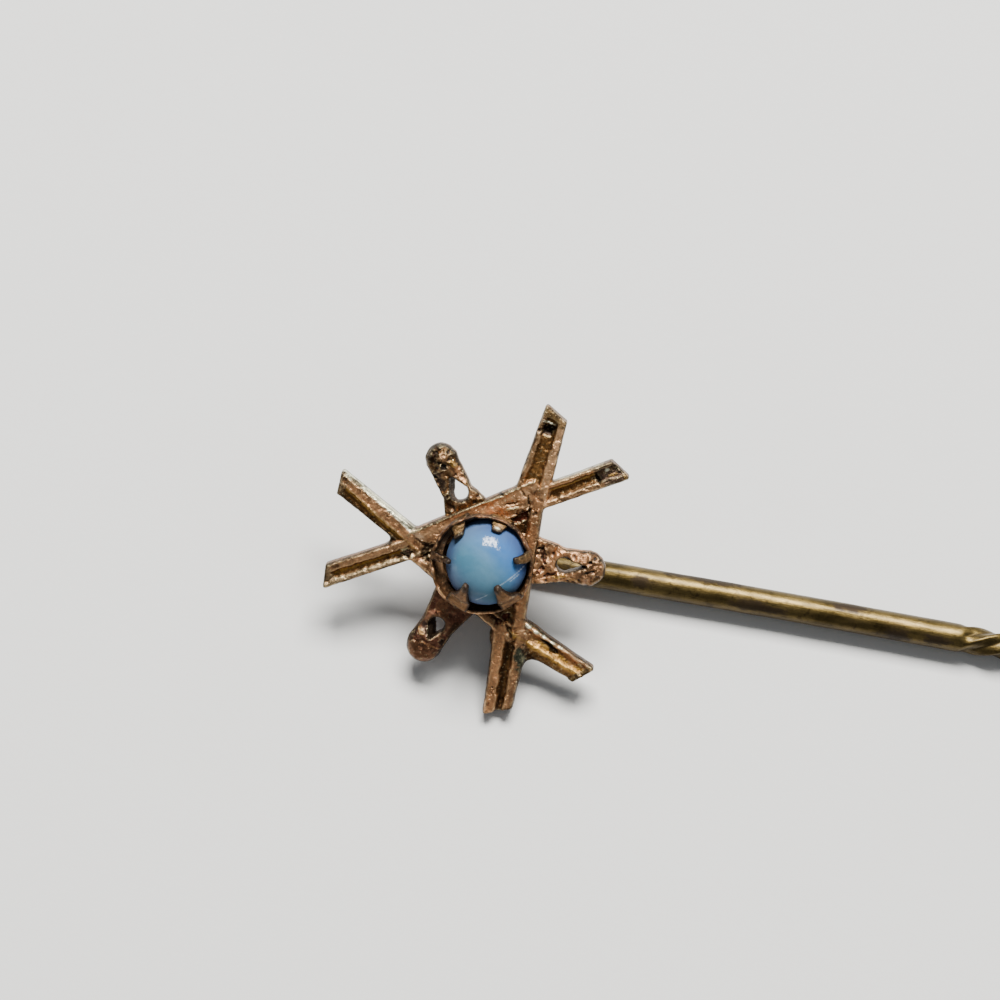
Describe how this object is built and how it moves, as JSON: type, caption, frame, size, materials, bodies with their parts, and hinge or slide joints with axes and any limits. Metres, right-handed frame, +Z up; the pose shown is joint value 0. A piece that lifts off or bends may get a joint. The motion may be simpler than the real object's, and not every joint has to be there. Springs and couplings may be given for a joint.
{
  "type": "stick pin",
  "caption": "Stick pin: an open star of grooved arms with pierced lobes, a clawed cup holding a domed blue stone, and a long round stem with a twisted stretch and a point",
  "frame": {"origin": "middle of the pin's bounding box in plan, on the surface that the pin lies on", "axes": "X along the stem, positive towards the point; Y across the stem, away from the end of the star that touches the surface; Z up from the surface"},
  "size_m": [0.0594, 0.0124, 0.0059],
  "materials": {
    "old_brass": "worn rose-copper patina with dark oxide in the hollows, brass shining through on the stem",
    "blue_opal_glass": "polished, milky and nearly opaque, with a few fine scratches"
  },
  "bodies": {
    "root": {"soldered_mount": "old_brass", "stone": "blue_opal_glass"}
  },
  "joints": []
}
